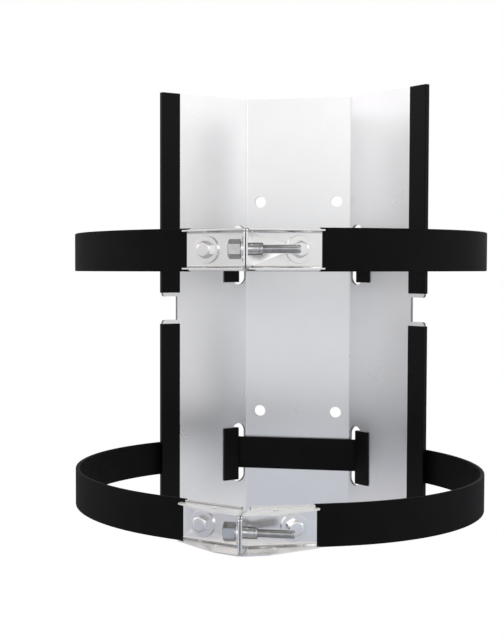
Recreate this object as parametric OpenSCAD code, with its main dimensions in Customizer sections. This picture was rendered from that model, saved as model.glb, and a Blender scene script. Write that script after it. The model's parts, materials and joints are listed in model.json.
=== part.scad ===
// Wall holder for an 11 kg gas bottle: a bent sheet back plate with rubber edges, and two
// coated steel straps that are each drawn together by a clamp screw.
// Origin: centre of the four wall bolts, on the face that lies against the wall.
// X runs to the right, Y runs into the wall, Z is up.

/* [Back plate] */
// Height of the plate
plate_h = 375; // [345:1:420]
// Thickness of the plate's sheet
sheet_t = 2.5; // [2:0.25:3]
// Width of the flat panel, between its two bend lines
panel_w = 93.5; // [86:0.5:96]
// Length of each wing, from its bend line to its edge
wing_len = 90; // [88:1:91]
// Angle that each wing is bent forward
wing_angle = 44; // [43:1:45]
// Inside radius of the bends
bend_r = 2; // [1:0.5:3]

/* [Wall bolts] */
// Distance across between the bolt holes
bolt_dx = 68.5; // [60:0.5:72]
// Distance up between the bolt holes
bolt_dz = 190; // [170:1:210]
// Diameter of the bolt holes
bolt_hole_d = 10; // [6:0.5:10]

/* [Strap slots] */
// Distance from the bend line to the near side of a slot
slot_start = 1.1; // [1:0.1:1.2]
// Width of a slot
slot_w = 14.5; // [14:0.1:15]
// Height of a slot
slot_h = 53.5; // [50:0.5:58]
// Height of the rubber guard on a slot
guard_h = 47.6; // [36:0.2:48]
// Width of the rubber guard
guard_w = 16; // [13:0.1:16.5]

/* [Edge rubber] */
// Width of the rubber profile on a wing's edge
rubber_w = 18.5; // [14:0.5:20]
// Thickness of each wall of the rubber profile
rubber_t = 1.1; // [1:0.1:1.5]
// Height of the notch at the middle of a wing's edge
notch_h = 20.6; // [16:0.2:24]
// Depth of the notch
notch_depth = 15; // [10:0.5:16]
// Height left free of rubber at the notch
rubber_gap = 27.2; // [26:0.2:32]

/* [Straps] */
// Inside diameter of a closed strap
ring_d = 308; // [308:1:309]
// Thickness of a strap with its coating
strap_t = 3; // [2.5:0.25:3]
// Width of a strap
strap_w = 28.5; // [27:0.5:30]
// Height of the upper strap's centre above the middle of the plate
upper_z = 47; // [44:1:60]
// Distance between the two straps
strap_pitch = 180; // [160:1:190]

/* [Buckles] */
// Half the angle by which the two brackets of a buckle lean back
vee_angle = 23; // [22.5:0.5:24]
// Thickness of a bracket's sheet
bracket_t = 1; // [1:0.1:1.5]
// Height of a bracket
bracket_h = 25.7; // [24:0.1:27]
// Length of a bracket's web
bracket_len = 48.1; // [46:0.1:50]
// Depth of a bracket's lips beside the ear
lip_depth = 20; // [18:0.1:20.5]
// Depth of a bracket's lips at the outer end
lip_tip_depth = 7; // [5:0.1:8]
// Reach of the ear in front of the point of the buckle
ear_reach = 23.1; // [22:0.1:24]
// Space between the two ears of a closed buckle
ear_gap = 0.7; // [0.6:0.1:2]
// Angle by which the upper buckle sits to the right of the middle
upper_turn = 0.8; // [-1:0.1:1]
// Angle by which the lower buckle sits to the right of the middle
lower_turn = -0.1; // [-1:0.1:1]

/* [Fasteners] */
// Diameter of the bolts and screws
thread_d = 6; // [5:0.5:6]
// Across flats of the strap bolts and their nuts
bolt_flats = 10; // [8:1:10]
// Diameter of the washers under the strap bolts
bolt_washer_d = 18; // [14:1:18]
// Across flats of the clamp screw's head
clamp_flats = 11; // [10:1:11]
// Length of the clamp screw beyond the ear it is pushed through
clamp_reach = 33; // [30:1:36]

/* [Hidden] */
$fn = 96;

LEFT = -1;
RIGHT = 1;
steel = "silver";
rubber = "#1b1b1b";
coating = "#141414";
far = 400;
split_gap = 0.3;
guard_drop = 0.8;

// Straps, seen from above. The ring's axis is at [0, -axis_gap].
ring_r = ring_d / 2;
band_r = ring_r + strap_t;
axis_gap = band_r + sheet_t;
lower_z = upper_z - strap_pitch;
// The strap's run in front of the panel is straight, and turns by rear_turn outside each slot.
// From there it goes straight to where it touches the ring.
rear_run_y = ring_r + 0.3;
rear_corner_x = 60;
rear_bend_r = 5;
rear_corner = [rear_corner_x, rear_run_y];
rear_turn = atan(rear_corner.x / rear_corner.y) + acos((ring_r + strap_t / 2) / norm(rear_corner));
rear_bend = [rear_corner.x - rear_bend_r * tan(rear_turn / 2), rear_run_y - rear_bend_r];
arm_start = 90 - rear_turn;

// Buckle: distances from the ring's axis to the faces of the two leaning webs.
web_back = band_r;
web_front = web_back + bracket_t;
vee_point = web_front / cos(vee_angle);
web_foot = web_front * tan(vee_angle);
bracket_bend_r = 2.5;
lip_round = 1.8;
lip_overhang = 0.5;
lip_flat_s = 9;
lip_slit = 0.4;
lip_hole_d = 5;
lip_hole_s = 18;
lip_hole_depth = 6.5;
bolt_s = 32.5;
strap_end_s = 4;

// Fasteners
bolt_r = thread_d / 2;
bolt_head_h = 4;
bolt_washer_t = 1.6;
thin_nut_h = 3.2;
hole_play = 0.3;
fit_play = 0.05;
clamp_y = vee_point + 8.5;
clamp_washer_d = 16.4;
clamp_washer_t = 2.2;
clamp_neck = 1.2;
clamp_head_h = 8;
clamp_bush_d = 8.2;
clamp_bush_len = 8;
ear_face = ear_gap / 2 + bracket_t;

// Points of an arc about c, from angle a to angle b.
function arc(c, r, a, b, steps = 8) =
    [for (i = [0 : steps]) let (t = a + (b - a) * i / steps) c + r * [cos(t), sin(t)]];

// The same outline mirrored to the other side of the Y axis, in the opposite order.
function mirrored(points) = [for (i = [len(points) - 1 : -1 : 0]) [-points[i].x, points[i].y]];

module side_of(side) {
    mirror([side < 0 ? 1 : 0, 0, 0])
    children();
}

function buckle_turn(z) = z > 0 ? upper_turn : lower_turn;

// Buckle frame at a height: turned about the ring's axis.
module at_buckle(z) {
    translate([0, -axis_gap, z])
    rotate([0, 0, buckle_turn(z)])
    translate([0, axis_gap, 0])
    children();
}

// Wing frame: x runs along a wing from its bend line, y points out of its back face.
module on_wing(side) {
    side_of(side)
    translate([panel_w / 2, -sheet_t, 0])
    rotate([0, 0, -wing_angle])
    children();
}

// Web frame: x runs along a buckle's web from the point of the buckle, and -y points out of its
// front, with y = 0 at the ring's axis.
module on_web(side) {
    side_of(side)
    translate([0, -axis_gap, 0])
    rotate([0, 0, vee_angle])
    translate([-web_foot, 0, 0])
    children();
}

// A disc or hexagon whose axis points out of the web, from one distance to another.
module web_disc(d, from, to, sides = 96) {
    translate([bolt_s, -from, 0])
    rotate([90, 0, 0])
    rotate([0, 0, 90])
    cylinder(d = d, h = to - from, $fn = sides);
}

function across_corners(flats) = flats / cos(30);

// Plate

function plate_half() =
    let (b = [panel_w / 2, -sheet_t],
         c = b - [bend_r * tan(wing_angle / 2), bend_r],
         along = [cos(wing_angle), -sin(wing_angle)],
         back = [sin(wing_angle), cos(wing_angle)],
         tip = b + wing_len * along)
    concat(arc(c, bend_r, 90, 90 - wing_angle),
           [tip, tip + sheet_t * back],
           arc(c, bend_r + sheet_t, 90 - wing_angle, 90));

module slot_cut() {
    run = slot_h - slot_w;
    translate([slot_start + slot_w / 2, -far / 2, 0]) {
        translate([-slot_w / 2, 0, -run / 2])
        cube([slot_w, far, run]);
        for (z = [-run / 2, run / 2])
        translate([0, 0, z])
        rotate([-90, 0, 0])
        cylinder(d = slot_w, h = far);
    }
}

// The notch in a wing's edge, which also rounds the two corners of the metal beside it.
module notch_cut() {
    corner = 2.5;
    translate([wing_len - notch_depth, -10, -notch_h / 2])
    cube([far, 20, notch_h]);
    for (up = [-1, 1])
    translate([wing_len - corner, -10, up * (notch_h / 2 + corner)])
    rotate([-90, 0, 0])
    difference() {
        translate([0, up > 0 ? 0 : -corner - 1, 0])
        cube([corner + 1, corner + 1, 20]);
        translate([0, 0, -1])
        cylinder(r = corner, h = 22);
    }
}

module back_plate() {
    color(steel)
    difference() {
        translate([0, 0, -plate_h / 2])
        linear_extrude(plate_h)
        polygon(concat(plate_half(), mirrored(plate_half())));
        for (x = [-1, 1], z = [-1, 1])
        translate([x * bolt_dx / 2, -far / 2, z * bolt_dz / 2])
        rotate([-90, 0, 0])
        cylinder(d = bolt_hole_d, h = far);
        for (side = [LEFT, RIGHT]) {
            on_wing(side)
            notch_cut();
            for (z = [upper_z, lower_z])
            on_wing(side)
            translate([0, 0, z])
            intersection() {
                slot_cut();
                translate([-2, -12, -far / 2])
                cube([40, 24, far]);
            }
        }
    }
}

// Rubber

// A U-shaped profile that holds a sheet, with its closed side at x = w. The closed side's rear
// corner is either rounded or cut off.
function clip_outline(w, front, back, wall, cut = 0) =
    let (r = 0.9, lip = 0.5)
    concat(cut > 0 ? [[w - 0.8 * cut, sheet_t + back], [w, sheet_t + back - cut]]
                   : arc([w - r, sheet_t + back - r], r, 90, 0),
           arc([w - r, r - front], r, 0, -90),
           arc([lip, lip - front], lip, -90, -180),
           [[0, 0], [w - wall, 0], [w - wall, sheet_t], [0, sheet_t]],
           arc([lip, sheet_t + back - lip], lip, 180, 90));

module edge_strip(side, up) {
    length = (plate_h - rubber_gap) / 2;
    color(rubber)
    on_wing(side)
    translate([wing_len + rubber_t - rubber_w, 0, up > 0 ? rubber_gap / 2 : -rubber_gap / 2 - length])
    linear_extrude(length)
    polygon(clip_outline(rubber_w, rubber_t, rubber_t, rubber_t));
}

// The guard's closed side follows the slot's rounded ends where it passes through the sheet, and
// is cut off behind it to clear the strap.
module slot_guard(side, z) {
    wall = 6.6;
    front = 1.7;
    back = 1.2;
    color(rubber)
    on_wing(side)
    translate([0, 0, z])
    difference() {
        translate([slot_start + slot_w - wall + guard_w, 0, -guard_h / 2 - guard_drop])
        linear_extrude(guard_h)
        mirror([1, 0, 0])
        polygon(clip_outline(guard_w, front, back, wall, 2));
        difference() {
            translate([slot_start + slot_w / 2, 0, -slot_h])
            cube([guard_w + slot_w, sheet_t, 2 * slot_h]);
            slot_cut();
        }
    }
}

// Straps

function rear_half() =
    let (out = rear_bend_r + strap_t / 2,
         in = rear_bend_r - strap_t / 2,
         ray = [cos(arm_start), sin(arm_start)])
    concat(arc(rear_bend, out, 90, arm_start),
           [band_r * ray, ring_r * ray],
           arc(rear_bend, in, arm_start, 90));

module strap_rear(z) {
    color(coating)
    translate([0, -axis_gap, z - strap_w / 2])
    linear_extrude(strap_w)
    polygon(concat(rear_half(), mirrored(rear_half())));
}

module strap_arm(side, z) {
    start = arm_start - split_gap / ring_r * 180 / PI - side * buckle_turn(z);
    end = vee_angle - 90;
    color(coating)
    at_buckle(z)
    difference() {
        union() {
            side_of(side)
            translate([0, -axis_gap, 0])
            rotate([0, 0, end])
            rotate_extrude(angle = start - end, $fn = 180)
            translate([ring_r, -strap_w / 2])
            square([strap_t, strap_w]);
            on_web(side)
            translate([strap_end_s, -band_r, -strap_w / 2])
            cube([web_foot - strap_end_s, strap_t, strap_w]);
        }
        on_web(side)
        web_disc(thread_d + 2 * hole_play, ring_r - 10, band_r + 10);
    }
}

// Buckles

// Web and two lips, as an outline whose x is minus the distance from the ring's axis.
function channel_outline() =
    let (z = bracket_h / 2,
         r = bracket_bend_r,
         x = -web_back,
         tip = x - 30,
         inner = r - bracket_t)
    concat([[tip, -z]],
           arc([x - r, r - z], r, -90, 0),
           arc([x - r, z - r], r, 0, 90),
           [[tip, z], [tip, z - bracket_t]],
           arc([x - r, z - r], inner, 90, 0),
           arc([x - r, r - z], inner, 0, -90),
           [[tip, bracket_t - z]]);

// Outline of the lips, from above: they are deep beside the ear, taper from lip_flat_s on, and end
// in a rounded tip a little beyond the web.
function lip_outline() =
    let (near_s = -ear_reach * sin(vee_angle) - 10,
         tip = [bracket_len + lip_overhang - lip_round, -web_front - lip_tip_depth + lip_round],
         slope = atan((lip_depth - lip_tip_depth) / (tip.x - lip_flat_s)))
    concat([[near_s, 1 - web_back], [near_s, -web_front - lip_depth]],
           arc([lip_flat_s, -web_front - lip_depth + 12], 12, -90, slope - 90, 4),
           arc(tip, lip_round, slope - 90, 0),
           [[bracket_len, -web_front], [bracket_len, 1 - web_back]]);

module ear() {
    corner = 3;
    difference() {
        translate([ear_gap / 2, -axis_gap - vee_point - ear_reach, -bracket_h / 2])
        cube([bracket_t, ear_reach + 2.4, bracket_h]);
        for (up = [-1, 1])
        translate([0, corner - axis_gap - vee_point - ear_reach, up * (bracket_h / 2 - corner)])
        rotate([0, 90, 0])
        difference() {
            translate([up > 0 ? -corner - 1 : 0, -corner - 1, -1])
            cube([corner + 1, corner + 1, 10]);
            translate([0, 0, -2])
            cylinder(r = corner, h = 12);
        }
    }
}

module bracket(side, z) {
    color(steel)
    at_buckle(z)
    difference() {
        union() {
            intersection() {
                on_web(side)
                rotate([90, 0, 90])
                translate([0, 0, -far / 2])
                linear_extrude(far)
                polygon(channel_outline());
                on_web(side)
                translate([0, 0, -far / 2])
                linear_extrude(far)
                polygon(lip_outline());
                side_of(side)
                translate([ear_face + lip_slit, -far, -far / 2])
                cube(far);
            }
            intersection() {
                on_web(side)
                translate([-5, -web_front, bracket_bend_r - bracket_h / 2])
                cube([20, bracket_t, bracket_h - 2 * bracket_bend_r]);
                side_of(side)
                translate([ear_gap / 2, -far, -far / 2])
                cube(far);
            }
            side_of(side)
            ear();
        }
        on_web(side)
        web_disc(thread_d + 2 * hole_play, ring_r - 10, band_r + 20);
        on_web(side)
        translate([lip_hole_s, -web_front - lip_hole_depth, -far / 2])
        cylinder(d = lip_hole_d, h = far);
        side_of(side)
        clamp_disc(thread_d + 2 * hole_play, -20, 20);
    }
}

module strap_bolt(side, z) {
    head = web_front + bolt_washer_t;
    tip = ring_r - thin_nut_h - 0.6;
    color(steel)
    at_buckle(z)
    on_web(side) {
        web_disc(thread_d, tip, head + 1);
        intersection() {
            web_disc(across_corners(bolt_flats), head, head + bolt_head_h, 6);
            translate([bolt_s, -head, 0])
            rotate([90, 0, 0])
            cylinder(d1 = bolt_flats + 15, d2 = bolt_flats - 0.8, h = bolt_head_h);
        }
    }
}

module strap_washer(side, z) {
    color(steel)
    at_buckle(z)
    on_web(side)
    difference() {
        web_disc(bolt_washer_d, web_front, web_front + bolt_washer_t);
        web_disc(thread_d + 2 * hole_play, web_front - 1, web_front + 10);
    }
}

module strap_nut(side, z) {
    color(steel)
    at_buckle(z)
    on_web(side)
    difference() {
        web_disc(across_corners(bolt_flats), ring_r - thin_nut_h, ring_r, 6);
        web_disc(thread_d + 2 * fit_play, ring_r - 10, ring_r + 10);
    }
}

// A disc or hexagon on the clamp screw's axis, from one x to another.
module clamp_disc(d, from, to, sides = 96) {
    translate([from, -axis_gap - clamp_y, 0])
    rotate([0, 90, 0])
    cylinder(d = d, h = to - from, $fn = sides);
}

module clamp_screw(z) {
    chamfer = 1;
    neck = -ear_face - clamp_washer_t - fit_play;
    head = neck - clamp_neck;
    color(steel)
    at_buckle(z) {
        clamp_disc(thread_d, neck - 1, clamp_reach - chamfer);
        translate([clamp_reach - chamfer, -axis_gap - clamp_y, 0])
        rotate([0, 90, 0])
        cylinder(d1 = thread_d, d2 = thread_d - 2 * chamfer, h = chamfer);
        clamp_disc(clamp_flats - 1.6, head - 1, neck);
        intersection() {
            clamp_disc(across_corners(clamp_flats), head - clamp_head_h, head, 6);
            translate([head - clamp_head_h, -axis_gap - clamp_y, 0])
            rotate([0, 90, 0])
            cylinder(d1 = clamp_flats - 0.8, d2 = clamp_flats + 24, h = clamp_head_h);
        }
    }
}

module clamp_washer(z) {
    color(steel)
    at_buckle(z)
    difference() {
        clamp_disc(clamp_washer_d, -ear_face - clamp_washer_t, -ear_face);
        clamp_disc(thread_d + 2 * hole_play, -20, 20);
    }
}

module clamp_bush(z) {
    color(steel)
    at_buckle(z)
    difference() {
        clamp_disc(clamp_bush_d, ear_face, ear_face + clamp_bush_len);
        clamp_disc(thread_d + 2 * fit_play, -20, 40);
    }
}

back_plate();
edge_strip(LEFT, 1);  // edge_strip_upper_left
edge_strip(RIGHT, 1);  // edge_strip_upper_right
edge_strip(LEFT, -1);  // edge_strip_lower_left
edge_strip(RIGHT, -1);  // edge_strip_lower_right
slot_guard(LEFT, upper_z);  // slot_guard_upper_left
slot_guard(RIGHT, upper_z);  // slot_guard_upper_right
slot_guard(LEFT, lower_z);  // slot_guard_lower_left
slot_guard(RIGHT, lower_z);  // slot_guard_lower_right
strap_rear(upper_z);  // upper_strap_rear
strap_arm(LEFT, upper_z);  // upper_strap_left
strap_arm(RIGHT, upper_z);  // upper_strap_right
bracket(LEFT, upper_z);  // upper_bracket_left
bracket(RIGHT, upper_z);  // upper_bracket_right
strap_bolt(LEFT, upper_z);  // upper_strap_bolt_left
strap_bolt(RIGHT, upper_z);  // upper_strap_bolt_right
strap_washer(LEFT, upper_z);  // upper_strap_washer_left
strap_washer(RIGHT, upper_z);  // upper_strap_washer_right
strap_nut(LEFT, upper_z);  // upper_strap_nut_left
strap_nut(RIGHT, upper_z);  // upper_strap_nut_right
clamp_screw(upper_z);  // upper_clamp_screw
clamp_washer(upper_z);  // upper_clamp_washer
clamp_bush(upper_z);  // upper_clamp_bush
strap_rear(lower_z);  // lower_strap_rear
strap_arm(LEFT, lower_z);  // lower_strap_left
strap_arm(RIGHT, lower_z);  // lower_strap_right
bracket(LEFT, lower_z);  // lower_bracket_left
bracket(RIGHT, lower_z);  // lower_bracket_right
strap_bolt(LEFT, lower_z);  // lower_strap_bolt_left
strap_bolt(RIGHT, lower_z);  // lower_strap_bolt_right
strap_washer(LEFT, lower_z);  // lower_strap_washer_left
strap_washer(RIGHT, lower_z);  // lower_strap_washer_right
strap_nut(LEFT, lower_z);  // lower_strap_nut_left
strap_nut(RIGHT, lower_z);  // lower_strap_nut_right
clamp_screw(lower_z);  // lower_clamp_screw
clamp_washer(lower_z);  // lower_clamp_washer
clamp_bush(lower_z);  // lower_clamp_bush
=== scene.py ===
"""Wall holder for a gas bottle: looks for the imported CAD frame."""
import json
import math

import bmesh
import bpy
from mathutils import Matrix, Vector


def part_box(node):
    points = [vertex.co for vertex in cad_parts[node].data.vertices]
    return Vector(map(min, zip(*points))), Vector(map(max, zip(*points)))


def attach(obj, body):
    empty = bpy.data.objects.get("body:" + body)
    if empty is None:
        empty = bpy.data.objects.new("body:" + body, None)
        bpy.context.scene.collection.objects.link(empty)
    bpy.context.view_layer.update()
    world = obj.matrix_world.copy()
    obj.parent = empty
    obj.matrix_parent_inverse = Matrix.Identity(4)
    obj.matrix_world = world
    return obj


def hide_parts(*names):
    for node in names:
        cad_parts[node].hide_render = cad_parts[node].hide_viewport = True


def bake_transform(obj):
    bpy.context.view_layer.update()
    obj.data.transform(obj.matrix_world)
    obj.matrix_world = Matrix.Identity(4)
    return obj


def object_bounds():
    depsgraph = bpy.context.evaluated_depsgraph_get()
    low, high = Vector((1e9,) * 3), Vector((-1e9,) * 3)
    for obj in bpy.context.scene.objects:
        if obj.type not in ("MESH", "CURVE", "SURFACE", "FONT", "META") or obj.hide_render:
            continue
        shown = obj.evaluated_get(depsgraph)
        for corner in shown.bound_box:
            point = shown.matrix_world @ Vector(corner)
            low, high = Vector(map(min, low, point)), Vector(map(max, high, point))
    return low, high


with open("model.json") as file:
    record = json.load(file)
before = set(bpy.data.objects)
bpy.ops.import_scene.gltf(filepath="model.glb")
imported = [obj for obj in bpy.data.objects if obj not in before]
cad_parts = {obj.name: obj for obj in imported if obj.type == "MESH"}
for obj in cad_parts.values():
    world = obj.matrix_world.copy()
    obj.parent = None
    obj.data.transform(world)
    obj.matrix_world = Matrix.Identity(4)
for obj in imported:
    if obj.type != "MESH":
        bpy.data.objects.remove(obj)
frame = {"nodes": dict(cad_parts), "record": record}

cad_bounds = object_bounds()

MM = 0.001
SIDES = {"left": -1, "right": 1}
LEVELS = ("upper", "lower")

# Driving dimensions of the CAD model, in metres and radians.
SHEET_T = 2.5 * MM
RING_R = 154 * MM
STRAP_T = 3 * MM
BRACKET_T = 1 * MM
VEE_ANGLE = math.radians(23)
TURNS = {"upper": math.radians(0.8), "lower": math.radians(-0.1)}
WING_ANGLE = math.radians(44)
PANEL_W = 93.5 * MM
BRACKET_LEN = 48.1 * MM
EAR_GAP = 0.7 * MM
BOLT_S = 32.5 * MM
BOLT_FLATS = 10 * MM
BOLT_WASHER_D = 18 * MM
BOLT_WASHER_T = 1.6 * MM
BOLT_HEAD_H = 4 * MM
THIN_NUT_H = 3.2 * MM
BOLT_PAST_NUT = 0.6 * MM
THREAD_D = 6 * MM
THREAD_PITCH = 1 * MM
CLAMP_FLATS = 11 * MM
CLAMP_REACH = 33 * MM
CLAMP_WASHER_D = 16.4 * MM
CLAMP_WASHER_T = 2.2 * MM
CLAMP_NECK = 1.2 * MM
CLAMP_HEAD_H = 8 * MM
CLAMP_BUSH_D = 8.2 * MM
CLAMP_BUSH_LEN = 8 * MM
FIT_PLAY = 0.05 * MM
HOLE_PLAY = 0.3 * MM
REAR_RUN_Y = RING_R + 0.3 * MM
REAR_CORNER_X = 60 * MM
REAR_BEND_R = 5 * MM
STRAP_END_S = 4 * MM
SLEEVE_TUCK = 0.6 * MM
BARE_INSET = 0.4 * MM

BAND_R = RING_R + STRAP_T
AXIS_GAP = BAND_R + SHEET_T
WEB_FRONT = BAND_R + BRACKET_T
VEE_POINT = WEB_FRONT / math.cos(VEE_ANGLE)
WEB_FOOT = WEB_FRONT * math.tan(VEE_ANGLE)
CLAMP_Y = VEE_POINT + 8.5 * MM
EAR_FACE = EAR_GAP / 2 + BRACKET_T


def level_z(level):
    low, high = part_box(f"{level}_strap_rear")
    return (low.z + high.z) / 2


# ---------------------------------------------------------------- camera

EYE = (0.1091, -1.0953, 0.0347)
LOOK_DOWN = math.radians(2.416)
LOOK_LEFT = math.radians(11.984)
LENS = 67.97
# The picture is cropped off its middle, by this share of its longer side.
CROP_SHIFT = 0.1362


def add_camera():
    data = bpy.data.cameras.new("camera")
    camera = bpy.data.objects.new("camera", data)
    bpy.context.collection.objects.link(camera)
    camera.location = EYE
    camera.rotation_euler = (math.pi / 2 - LOOK_DOWN, 0, LOOK_LEFT)
    data.sensor_width = 36
    data.lens = LENS
    data.shift_x = CROP_SHIFT
    bpy.context.scene.camera = camera


add_camera()

# ---------------------------------------------------------------- studio

def node_tree(owner):
    owner.use_nodes = True
    tree = owner.node_tree
    tree.nodes.clear()
    return tree


def add_node(tree, kind, **settings):
    node = tree.nodes.new(kind)
    for key, value in settings.items():
        if key in node.inputs:
            node.inputs[key].default_value = value
        else:
            setattr(node, key, value)
    return node


def ramp(tree, source, stops):
    node = tree.nodes.new("ShaderNodeValToRGB")
    elements = node.color_ramp.elements
    while len(elements) < len(stops):
        elements.new(0.5)
    for element, (at, colour) in zip(elements, stops):
        element.position = at
        element.color = (*colour, 1)
    tree.links.new(source, node.inputs["Fac"])
    return node.outputs["Color"]


def span(tree, source, low, high, start=0.0):
    """Maps start..1 to low..high."""
    node = add_node(tree, "ShaderNodeMapRange")
    node.inputs["From Min"].default_value = start
    node.inputs["To Min"].default_value = low
    node.inputs["To Max"].default_value = high
    tree.links.new(source, node.inputs["Value"])
    return node.outputs[0]


def mapped(tree, source, low, high, to_low=0.0, to_high=1.0):
    node = add_node(tree, "ShaderNodeMapRange", interpolation_type="SMOOTHSTEP")
    for name, value in (("From Min", low), ("From Max", high),
                        ("To Min", to_low), ("To Max", to_high)):
        node.inputs[name].default_value = value
    tree.links.new(source, node.inputs["Value"])
    return node.outputs[0]


def mixed(tree, kind, factor, a, b):
    """Mixes or multiplies two colours; factor is a number or an output."""
    node = add_node(tree, "ShaderNodeMixRGB", blend_type=kind)
    if isinstance(factor, (int, float)):
        node.inputs["Fac"].default_value = factor
    else:
        tree.links.new(factor, node.inputs["Fac"])
    tree.links.new(a, node.inputs["Color1"])
    tree.links.new(b, node.inputs["Color2"])
    return node.outputs[0]


# Light of the studio by height, from straight down (0) over the horizon (0.5) to straight up (1).
ROOM_LIGHT = [
    (0.00, (0.36, 0.36, 0.37)),
    (0.20, (0.40, 0.41, 0.43)),
    (0.32, (0.46, 0.48, 0.53)),
    (0.37, (0.46, 0.49, 0.56)),
    (0.396, (0.49, 0.52, 0.59)),
    (0.4175, (0.56, 0.59, 0.66)),
    (0.443, (0.68, 0.69, 0.72)),
    (0.475, (0.76, 0.765, 0.775)),
    (0.50, (0.78, 0.78, 0.785)),
    (0.528, (0.79, 0.79, 0.79)),
    (0.57, (0.88, 0.88, 0.88)),
    (0.62, (0.76, 0.735, 0.71)),
    (0.70, (0.50, 0.50, 0.50)),
    (0.85, (0.35, 0.35, 0.35)),
    (1.00, (0.33, 0.33, 0.33))]
SIDE_LIGHT = [
    (0.00, (0.36, 0.36, 0.37)),
    (0.20, (0.42, 0.42, 0.44)),
    (0.32, (0.66, 0.66, 0.68)),
    (0.40, (0.72, 0.72, 0.75)),
    (0.445, (0.86, 0.86, 0.88)),
    (0.49, (0.80, 0.795, 0.80)),
    (0.535, (0.77, 0.77, 0.77)),
    (0.575, (1.50, 1.50, 1.50)),
    (0.62, (1.45, 1.45, 1.45)),
    (0.70, (0.60, 0.60, 0.60)),
    (1.00, (0.33, 0.33, 0.33))]
# The large lamp in front, by height and from left (0) to right (1).
LAMP_HEIGHT = [(0.53, 0), (0.57, 1), (0.66, 1), (0.74, 0)]
LAMP_ACROSS = [(0.00, 0.22), (0.10, 0.22), (0.17, 0), (0.25, 0.38), (0.48, 0.38),
               (0.56, 0.90), (0.60, 1.60), (0.69, 1.60), (0.75, 0)]
# Tint from the left (0) to the right (1).
SIDEWAYS = [
    (0.00, (0.87, 0.85, 0.86)),
    (0.10, (0.88, 0.87, 0.87)),
    (0.35, (1.00, 1.00, 1.00)),
    (0.75, (1.06, 1.06, 1.06)),
    (1.00, (0.98, 0.98, 0.98))]


def grey(stops):
    return [(at, (value, value, value)) for at, value in stops]


def add_world():
    """A studio that the object reflects, on white paper for the camera."""
    world = bpy.data.worlds.new("studio")
    bpy.context.scene.world = world
    tree = node_tree(world)
    coords = add_node(tree, "ShaderNodeTexCoord")
    split = add_node(tree, "ShaderNodeSeparateXYZ")
    tree.links.new(coords.outputs["Generated"], split.inputs[0])
    height = span(tree, split.outputs["Z"], 0, 1, -1)
    across = span(tree, split.outputs["X"], 0, 1, -1)
    reach = add_node(tree, "ShaderNodeMath", operation="ABSOLUTE")
    tree.links.new(split.outputs["X"], reach.inputs[0])
    sideness = mapped(tree, reach.outputs[0], 0.75, 0.98)
    behind = mapped(tree, split.outputs["Y"], 0.2, 0.6, 1, 0.55)
    lamp = mixed(tree, "MULTIPLY", 1.0, ramp(tree, height, grey(LAMP_HEIGHT)),
                 ramp(tree, across, grey(LAMP_ACROSS)))
    sky = mixed(tree, "MIX", sideness, ramp(tree, height, ROOM_LIGHT),
                ramp(tree, height, SIDE_LIGHT))
    sky = mixed(tree, "ADD", 1.0, sky, lamp)
    sky = mixed(tree, "MULTIPLY", 1.0, sky, ramp(tree, across, SIDEWAYS))
    sky = mixed(tree, "MULTIPLY", 1.0, sky, behind)
    light = add_node(tree, "ShaderNodeBackground", Strength=1)
    tree.links.new(sky, light.inputs["Color"])
    paper = add_node(tree, "ShaderNodeBackground", Strength=1)
    paper.inputs["Color"].default_value = (1, 1, 1, 1)
    path = add_node(tree, "ShaderNodeLightPath")
    mix = add_node(tree, "ShaderNodeMixShader")
    tree.links.new(path.outputs["Is Camera Ray"], mix.inputs[0])
    tree.links.new(light.outputs[0], mix.inputs[1])
    tree.links.new(paper.outputs[0], mix.inputs[2])
    out = add_node(tree, "ShaderNodeOutputWorld")
    tree.links.new(mix.outputs[0], out.inputs["Surface"])


def add_area(name, location, target, size, power):
    data = bpy.data.lights.new(name, "AREA")
    data.shape = "RECTANGLE"
    data.size, data.size_y = size
    data.energy = power
    light = bpy.data.objects.new(name, data)
    bpy.context.collection.objects.link(light)
    light.location = location
    aim = Vector(target) - Vector(location)
    light.rotation_euler = aim.to_track_quat("-Z", "Y").to_euler()


def add_floor():
    """White paper that only the camera sees, just under the object."""
    size = 4
    mesh = bpy.data.meshes.new("floor")
    z = cad_bounds[0].z - 0.5 * MM
    corners = [(-size, -size, z), (size, -size, z), (size, size, z), (-size, size, z)]
    mesh.from_pydata(corners, [], [(0, 1, 2, 3)])
    floor = bpy.data.objects.new("floor", mesh)
    bpy.context.collection.objects.link(floor)
    material = bpy.data.materials.new("paper")
    tree = node_tree(material)
    glow = add_node(tree, "ShaderNodeEmission", Strength=1)
    glow.inputs["Color"].default_value = (1, 1, 1, 1)
    out = add_node(tree, "ShaderNodeOutputMaterial")
    tree.links.new(glow.outputs[0], out.inputs["Surface"])
    mesh.materials.append(material)
    floor.visible_diffuse = False
    floor.visible_glossy = False
    floor.visible_shadow = False


bpy.context.scene.view_settings.view_transform = "Standard"
add_world()
add_floor()
add_area("top_light", (0, -0.35, 0.75), (0, -0.02, 0.15), (0.9, 0.5), 1.5)

# ---------------------------------------------------------------- materials

def noise(tree, scale, detail=3, roughness=0.5, stretch=(1, 1, 1)):
    coords = add_node(tree, "ShaderNodeTexCoord")
    mapping = add_node(tree, "ShaderNodeMapping")
    mapping.inputs["Scale"].default_value = stretch
    tree.links.new(coords.outputs["Object"], mapping.inputs["Vector"])
    texture = add_node(tree, "ShaderNodeTexNoise", Scale=scale, Detail=detail,
                       Roughness=roughness)
    tree.links.new(mapping.outputs[0], texture.inputs["Vector"])
    return texture.outputs["Fac"]


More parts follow.
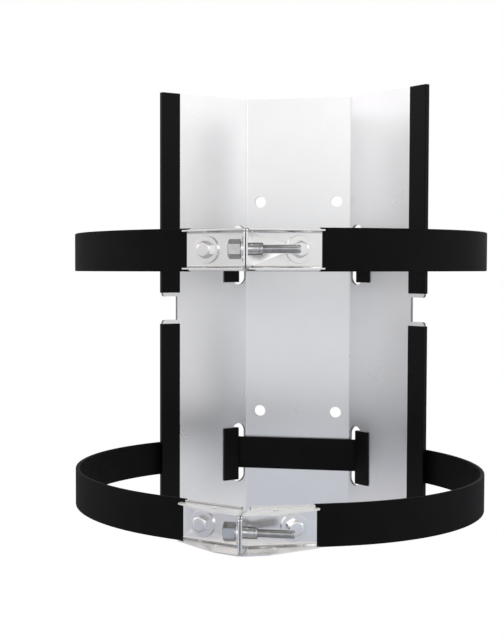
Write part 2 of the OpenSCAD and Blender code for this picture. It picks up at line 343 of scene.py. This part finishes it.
def surface(name, colours, roughness, colour_noise, rough_noise, bump_noise, bump,
            metallic=0.0, **sockets):
    """A Principled material whose colour, roughness and bump each come from a noise."""
    material = bpy.data.materials.new(name)
    tree = node_tree(material)
    shader = add_node(tree, "ShaderNodeBsdfPrincipled", Metallic=metallic)
    for key, value in sockets.items():
        shader.inputs[key.replace("_", " ")].default_value = value
    tint = ramp(tree, noise(tree, **colour_noise), [(0.3, colours[0]), (0.7, colours[1])])
    tree.links.new(tint, shader.inputs["Base Color"])
    tree.links.new(span(tree, noise(tree, **rough_noise), *roughness),
                   shader.inputs["Roughness"])
    height = add_node(tree, "ShaderNodeBump", Strength=bump[0], Distance=bump[1])
    tree.links.new(noise(tree, **bump_noise), height.inputs["Height"])
    tree.links.new(height.outputs[0], shader.inputs["Normal"])
    out = add_node(tree, "ShaderNodeOutputMaterial")
    tree.links.new(shader.outputs[0], out.inputs["Surface"])
    return material


PLATE = surface(
    "plate_steel", [(0.885, 0.888, 0.894), (0.93, 0.931, 0.935)], (0.25, 0.32),
    dict(scale=14, detail=4, roughness=0.6), dict(scale=26, detail=4),
    dict(scale=60, detail=1, stretch=(1, 1, 0.3)), (0.05, 0.1 * MM), metallic=1)
# Cut faces of the sheet: a darker, rougher steel, partly the cut edge's own duller tone and partly
# painted shade on the walls of holes and slots.
CUT_EDGE_AND_SHADE = surface(
    "plate_cut_edge_and_shade", [(0.26, 0.25, 0.25), (0.34, 0.33, 0.33)], (0.4, 0.5),
    dict(scale=300), dict(scale=300), dict(scale=900), (0.3, 0.1 * MM), metallic=1)
BRACKET = surface(
    "bracket_steel", [(0.90, 0.892, 0.885), (0.95, 0.945, 0.94)], (0.18, 0.25),
    dict(scale=40), dict(scale=90), dict(scale=500), (0.04, 0.1 * MM), metallic=1)
WASHER = surface(
    "washer_steel", [(0.90, 0.895, 0.89), (0.95, 0.945, 0.94)], (0.16, 0.22),
    dict(scale=90), dict(scale=200), dict(scale=700), (0.04, 0.05 * MM), metallic=1)
FASTENER = surface(
    "fastener_steel", [(0.58, 0.58, 0.585), (0.68, 0.68, 0.685)], (0.12, 0.2),
    dict(scale=160), dict(scale=400), dict(scale=900), (0.08, 0.05 * MM), metallic=1)
RUBBER = surface(
    "edge_rubber", [(0.0008, 0.0008, 0.0008), (0.0016, 0.0016, 0.0016)], (0.28, 0.36),
    dict(scale=600, detail=4, roughness=0.7), dict(scale=300),
    dict(scale=900, detail=3, roughness=0.7), (0.3, 0.3 * MM), IOR=1.23)
COATING = surface(
    "strap_coating", [(0.0046, 0.0046, 0.0046), (0.0066, 0.0066, 0.0066)], (0.5, 0.6),
    dict(scale=60), dict(scale=120), dict(scale=350, detail=4), (0.08, 0.1 * MM),
    IOR=1.16)

SLOT_MATERIALS = {"plate_steel": PLATE, "bracket_steel": BRACKET,
                  "fastener_steel": FASTENER, "edge_rubber": RUBBER,
                  "strap_coating": COATING}

# ---------------------------------------------------------------- mesh tools

def new_piece(name, build, slot, material=None, smooth_angle=35):
    """A piece whose mesh build(bm) makes."""
    bm = bmesh.new()
    build(bm)
    bmesh.ops.recalc_face_normals(bm, faces=bm.faces)
    mesh = bpy.data.meshes.new(name)
    bm.to_mesh(mesh)
    bm.free()
    for polygon in mesh.polygons:
        polygon.use_smooth = True
    mesh.set_sharp_from_angle(angle=math.radians(smooth_angle))
    mesh.materials.append(material or SLOT_MATERIALS[slot])
    piece = bpy.data.objects.new(name, mesh)
    bpy.context.collection.objects.link(piece)
    flatten = piece.modifiers.new("flatten", "WEIGHTED_NORMAL")
    flatten.keep_sharp = True
    return piece


def ring(bm, points):
    return [bm.verts.new(p) for p in points]


def bridge(bm, a, b):
    for i in range(len(a)):
        j = (i + 1) % len(a)
        bm.faces.new((a[i], a[j], b[j], b[i]))


def lathe(bm, outline, segments=64, closed=True, place=Matrix()):
    """Turns an outline of (radius, height) round the Z axis. A closed outline makes a hollow
    ring; an open one starts and ends with a flat face."""
    rings = []
    for radius, height in outline:
        angles = [2 * math.pi * i / segments for i in range(segments)]
        rings.append(ring(bm, [place @ Vector((radius * math.cos(t), radius * math.sin(t), height))
                               for t in angles]))
    for a, b in zip(rings, rings[1:]):
        bridge(bm, a, b)
    if closed:
        bridge(bm, rings[-1], rings[0])
    else:
        bm.faces.new(rings[0])
        bm.faces.new(rings[-1])


def washer(bm, outer, bore, thickness, place, edge=0.25 * MM):
    """A flat washer on the Z axis, from 0 up to its thickness, with rounded rims."""
    lathe(bm, [(bore, 0), (outer - edge, 0), (outer, edge), (outer, thickness - edge),
               (outer - 0.3 * edge, thickness - 0.3 * edge), (outer - edge, thickness),
               (bore + 0.5 * edge, thickness), (bore, thickness - 0.5 * edge)], place=place)


def hex_radius(apothem, angle):
    """Radius of a hexagon that has a corner at angle 0."""
    sixth = math.pi / 3
    return apothem / math.cos(angle % sixth - sixth / 2)


def hexagon(bm, flats, bottom, top, place, chamfer_r, bore=0.0, both=False, steps=12):
    """A hexagon on the Z axis whose corners are turned off by a 30 degree cone."""
    slope = math.tan(math.radians(30))
    count = 6 * steps
    angles = [2 * math.pi * i / count for i in range(count)]

    def loop(radii, heights):
        return ring(bm, [place @ Vector((r * math.cos(t), r * math.sin(t), h))
                         for t, r, h in zip(angles, radii, heights)])

    sides = [hex_radius(flats / 2, t) for t in angles]
    drop = [max(0.0, r - chamfer_r) * slope for r in sides]
    loops = []
    if both:
        loops.append(loop([chamfer_r] * count, [bottom] * count))
        loops.append(loop(sides, [bottom + d for d in drop]))
    else:
        loops.append(loop(sides, [bottom] * count))
    loops.append(loop(sides, [top - d for d in drop]))
    loops.append(loop([chamfer_r] * count, [top] * count))
    for a, b in zip(loops, loops[1:]):
        bridge(bm, a, b)
    if bore:
        inner = [loop([bore] * count, [top] * count), loop([bore] * count, [bottom] * count)]
        bridge(bm, loops[-1], inner[0])
        bridge(bm, inner[0], inner[1])
        bridge(bm, inner[1], loops[0])
    else:
        bm.faces.new(loops[-1])
        bm.faces.new(loops[0])


THREAD_DEPTH = 0.61 * THREAD_PITCH


def groove(phase):
    """Depth of a thread's groove, 0 to 1, with a flat crest and a flat root."""
    return min(1, max(0, (1 - abs(2 * phase - 1)) * 1.35 - 0.25))


def thread(bm, diameter, start, end, place, chamfer, plain=0.0, segments=36, steps=8):
    """A shank with a helical thread on the Z axis, from start to end, with a chamfered tip. The
    first stretch, plain, has no thread."""
    outer = diameter / 2
    rows = int((end - start) / THREAD_PITCH * steps) + 1
    rings = []
    for row in range(rows + 1):
        z = start + (end - start) * row / rows
        points = []
        for i in range(segments):
            angle = 2 * math.pi * i / segments
            phase = (z / THREAD_PITCH - i / segments) % 1
            fade = min(1, max(0, (z - start - plain) / THREAD_PITCH))
            radius = outer - THREAD_DEPTH * groove(phase) * fade
            radius = min(radius, outer - chamfer + (end - z))
            points.append(place @ Vector((radius * math.cos(angle), radius * math.sin(angle), z)))
        rings.append(ring(bm, points))
    for a, b in zip(rings, rings[1:]):
        bridge(bm, a, b)
    bm.faces.new(rings[0])
    bm.faces.new(rings[-1])


def buckle_place(level):
    """Frame of a buckle: on the ring's axis, turned with the buckle."""
    centre = Matrix.Translation((0, -AXIS_GAP, level_z(level)))
    return centre @ Matrix.Rotation(TURNS[level], 4, "Z")


def web_place(side, level):
    """Frame of a strap bolt: Z points out of the buckle's web, from the ring's axis."""
    sign = SIDES[side]
    along = Vector((sign * math.cos(VEE_ANGLE), math.sin(VEE_ANGLE), 0))
    out = Vector((sign * math.sin(VEE_ANGLE), -math.cos(VEE_ANGLE), 0))
    up = Vector((0, 0, 1))
    place = Matrix((up, out.cross(up), out)).transposed().to_4x4()
    place.translation = along * (BOLT_S - WEB_FOOT)
    return buckle_place(level) @ place


def clamp_place(level):
    """Frame of a clamp screw: Z runs along the screw, to the right, from the middle of the gap."""
    place = Matrix.Rotation(math.pi / 2, 4, "Y")
    place.translation = (0, -CLAMP_Y, 0)
    return buckle_place(level) @ place


def soften(node, width, segments=2):
    """Rounds the sharp edges of a CAD node that stays."""
    piece = frame["nodes"][node]
    weld = piece.modifiers.new("weld", "WELD")
    weld.merge_threshold = 0.002 * MM
    flat = piece.modifiers.new("flat", "DECIMATE")
    flat.decimate_type = "DISSOLVE"
    flat.angle_limit = math.radians(0.2)
    edge = piece.modifiers.new("edge", "BEVEL")
    edge.width = width
    edge.segments = segments
    edge.limit_method = "ANGLE"
    edge.angle_limit = math.radians(40)
    edge.harden_normals = True


# ---------------------------------------------------------------- straps

def arc(centre, radius, start, end, steps):
    return [(centre[0] + radius * math.cos(start + (end - start) * i / steps),
             centre[1] + radius * math.sin(start + (end - start) * i / steps))
            for i in range(steps + 1)]


def line(a, b, steps):
    return [(a[0] + (b[0] - a[0]) * i / steps, a[1] + (b[1] - a[1]) * i / steps)
            for i in range(1, steps)]


def strap_route(side, level):
    """Middle line of half a strap, seen from above, about the ring's axis and as if it was the
    right half: the stretch in the sleeve, then the bare stretch behind the bracket."""
    middle = RING_R + STRAP_T / 2
    lean = VEE_ANGLE + SIDES[side] * TURNS[level]
    corner = Vector((REAR_CORNER_X, REAR_RUN_Y))
    turn = math.atan2(corner.x, corner.y) + math.acos(middle / corner.length)
    bend = (corner.x - REAR_BEND_R * math.tan(turn / 2), REAR_RUN_Y - REAR_BEND_R)
    start = math.pi / 2 - turn
    sleeve = [(0, REAR_RUN_Y)] + line((0, REAR_RUN_Y), (bend[0], REAR_RUN_Y), 14)
    sleeve += arc(bend, REAR_BEND_R, math.pi / 2, start, 8)
    ring_points = arc((0, 0), middle, start, lean - math.pi / 2, 96)
    sleeve += line(sleeve[-1], ring_points[0], 14) + ring_points
    foot = Vector(ring_points[-1])
    along = Vector((-math.cos(lean), -math.sin(lean)))
    bare = foot + along * (WEB_FOOT - BRACKET_LEN + SLEEVE_TUCK)
    tip = foot + along * (WEB_FOOT - STRAP_END_S)
    sleeve += line(foot, bare, 6) + [tuple(bare)]
    return sleeve, [tuple(bare)] + line(bare, tip, 12) + [tuple(tip)]


def strap_section(width, thickness, rounding):
    """Points of a strap's section: (outwards, up)."""
    points = []
    for across, up, start in ((1, 1, 0), (-1, 1, 1), (-1, -1, 2), (1, -1, 3)):
        centre = (across * (thickness / 2 - rounding), up * (width / 2 - rounding))
        points += arc(centre, rounding, start * math.pi / 2, (start + 1) * math.pi / 2, 4)
    return points


def build_band(bm, route, section, side, level):
    """Sweeps a strap's section along its route."""
    route = [Vector(p) for p in route]
    rings = []
    for i, point in enumerate(route):
        ahead = route[min(i + 1, len(route) - 1)] - route[max(i - 1, 0)]
        if i == 0:
            ahead = route[1] - point
        ahead.normalize()
        out = Vector((-ahead.y, ahead.x))
        loop = []
        for across, up in section:
            p = point + out * across
            loop.append((SIDES[side] * p.x, p.y - AXIS_GAP, level_z(level) + up))
        rings.append(ring(bm, loop))
    for a, b in zip(rings, rings[1:]):
        bridge(bm, a, b)
    bm.faces.new(rings[0])
    bm.faces.new(rings[-1])


def add_strap(level, side):
    """A strap's half in its black sleeve, and its bare steel end behind the bracket."""
    low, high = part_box(f"{level}_strap_rear")
    width = high.z - low.z
    sleeve, bare = strap_route(side, level)
    section = strap_section(width, STRAP_T, 0.8 * MM)
    piece = new_piece(f"{level}_band_{side}",
                      lambda bm: build_band(bm, sleeve, section, side, level), "strap_coating")
    replaced = [f"{level}_strap_{side}"]
    if side == "right":
        replaced.append(f"{level}_strap_rear")
    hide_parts(*replaced)
    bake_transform(piece)
    section = strap_section(width - 2 * BARE_INSET, STRAP_T - 0.2 * MM, 0.4 * MM)
    piece = new_piece(f"{level}_band_end_{side}",
                      lambda bm: build_band(bm, bare, section, side, level), "bracket_steel")
    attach(piece, f"{level}_{side}_arm")


# ---------------------------------------------------------------- fasteners

def build_strap_bolt(bm, place):
    """The bolt ends a little past its nut, towards the ring's axis."""
    head = WEB_FRONT + BOLT_WASHER_T
    hexagon(bm, BOLT_FLATS, head, head + BOLT_HEAD_H, place, BOLT_FLATS / 2 - 1.3 * MM)
    flip = place @ Matrix.Rotation(math.pi, 4, "X")
    thread(bm, THREAD_D, -head, BOLT_PAST_NUT + THIN_NUT_H - RING_R, flip, 0.8 * MM, 2 * MM)


def build_strap_washer(bm, place):
    lift = Matrix.Translation((0, 0, WEB_FRONT))
    washer(bm, BOLT_WASHER_D / 2, THREAD_D / 2 + HOLE_PLAY, BOLT_WASHER_T, place @ lift)


def build_strap_nut(bm, place):
    hexagon(bm, BOLT_FLATS, RING_R - THIN_NUT_H, RING_R, place, BOLT_FLATS / 2 - 0.2 * MM,
            bore=THREAD_D / 2 + FIT_PLAY, both=True)


def build_clamp_screw(bm, place):
    neck = -EAR_FACE - CLAMP_WASHER_T - FIT_PLAY
    head = neck - CLAMP_NECK
    turned = place @ Matrix.Rotation(math.pi, 4, "X")
    hexagon(bm, CLAMP_FLATS, -head, CLAMP_HEAD_H - head, turned, CLAMP_FLATS / 2 - 0.4 * MM)
    lathe(bm, [(THREAD_D / 2, neck), (CLAMP_FLATS / 2 - 0.8 * MM, neck),
               (CLAMP_FLATS / 2 - 0.8 * MM, head)], closed=False, place=place)
    thread(bm, THREAD_D, neck, CLAMP_REACH, place, 1 * MM, plain=3 * MM)


def build_clamp_washer(bm, place):
    lift = Matrix.Translation((0, 0, -EAR_FACE - CLAMP_WASHER_T))
    washer(bm, CLAMP_WASHER_D / 2, THREAD_D / 2 + HOLE_PLAY, CLAMP_WASHER_T, place @ lift)


def build_clamp_bush(bm, place):
    """A threaded sleeve with a turned line near its free end."""
    outer = CLAMP_BUSH_D / 2
    bore = THREAD_D / 2 + FIT_PLAY
    start, end = EAR_FACE, EAR_FACE + CLAMP_BUSH_LEN
    edge = 0.4 * MM
    line_floor = outer - 0.25 * MM
    lathe(bm, [(bore, start), (outer, start), (outer, end - 2.2 * MM),
               (line_floor, end - 2 * MM), (line_floor, end - 1.7 * MM),
               (outer, end - 1.5 * MM), (outer, end - edge), (outer - edge, end),
               (bore, end)], place=place)


def add_fastener(node, body, build, place, material=None):
    """A turned piece that stands for a CAD node."""
    piece = new_piece(f"{node}_turned", lambda bm: build(bm, place), "fastener_steel", material)
    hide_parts(node)
    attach(piece, body)


for level in LEVELS:
    for side in SIDES:
        add_strap(level, side)
        body = f"{level}_{side}_arm"
        place = web_place(side, level)
        add_fastener(f"{level}_strap_bolt_{side}", body, build_strap_bolt, place, WASHER)
        add_fastener(f"{level}_strap_washer_{side}", body, build_strap_washer, place, WASHER)
        add_fastener(f"{level}_strap_nut_{side}", body, build_strap_nut, place)
    place = clamp_place(level)
    add_fastener(f"{level}_clamp_screw", f"{level}_screw", build_clamp_screw, place)
    add_fastener(f"{level}_clamp_washer", f"{level}_left_arm", build_clamp_washer, place, WASHER)
    add_fastener(f"{level}_clamp_bush", f"{level}_right_arm", build_clamp_bush, place)

# ---------------------------------------------------------------- CAD nodes that stay

def cut_face(polygon):
    """Whether a face of the plate is one of its sheet's cut faces."""
    normal = polygon.normal
    if abs(normal.z) > 0.3:
        return True
    if abs(polygon.center.x) < PANEL_W / 2:
        return abs(normal.y) < 0.5
    side = math.copysign(1, polygon.center.x)
    along = Vector((side * math.cos(WING_ANGLE), -math.sin(WING_ANGLE), 0))
    return abs(normal.dot(along)) > 0.5


# The plate keeps the crisp edges of its cut sheet.
EDGE_WIDTHS = {"bracket_steel": 0.25 * MM, "edge_rubber": 0.3 * MM}

for row in frame["record"]["subparts"]:
    node = frame["nodes"][row["node"]]
    if node.hide_render:
        continue
    node.data.materials.clear()
    node.data.materials.append(SLOT_MATERIALS[row["material_slot"]])
    if row["material_slot"] in EDGE_WIDTHS:
        soften(row["node"], EDGE_WIDTHS[row["material_slot"]])

plate = frame["nodes"]["back_plate"].data
# The cut faces take the darker steel, which is partly painted shade.
plate.materials.append(CUT_EDGE_AND_SHADE)
for polygon in plate.polygons:
    polygon.material_index = int(cut_face(polygon))
